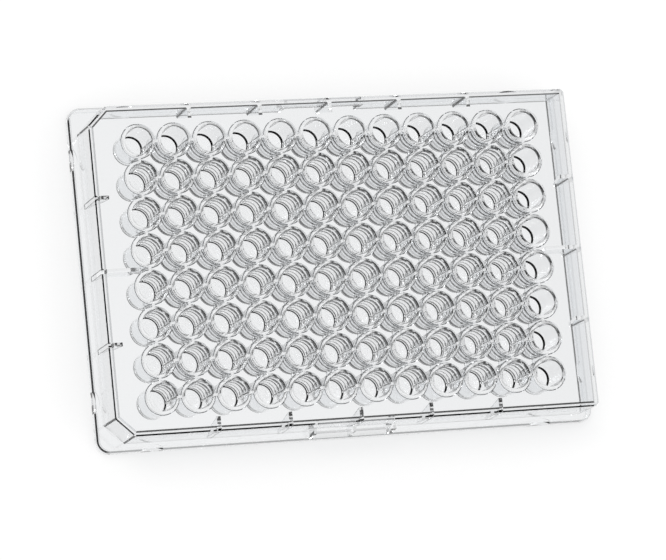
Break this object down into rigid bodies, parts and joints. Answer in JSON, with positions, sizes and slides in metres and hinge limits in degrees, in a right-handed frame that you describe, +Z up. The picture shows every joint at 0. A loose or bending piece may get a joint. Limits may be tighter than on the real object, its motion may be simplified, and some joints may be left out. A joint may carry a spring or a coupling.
{
  "type": "well plate",
  "caption": "Clear flat-bottomed microplate: a deck with a grid of open wells inside a thin drafted side wall, on a stepped-out skirt with two cut deck corners.",
  "frame": {"origin": "middle of the footprint, on the plane that the plate stands on", "axes": "+X along the rows from column 1 to column 12, +Y across the rows towards row A, +Z up, out of the wells"},
  "size_m": [0.1278, 0.0854, 0.0143],
  "materials": {
    "clear_plastic": "polished"
  },
  "bodies": {
    "root": {"plate": "clear_plastic"}
  },
  "joints": []
}
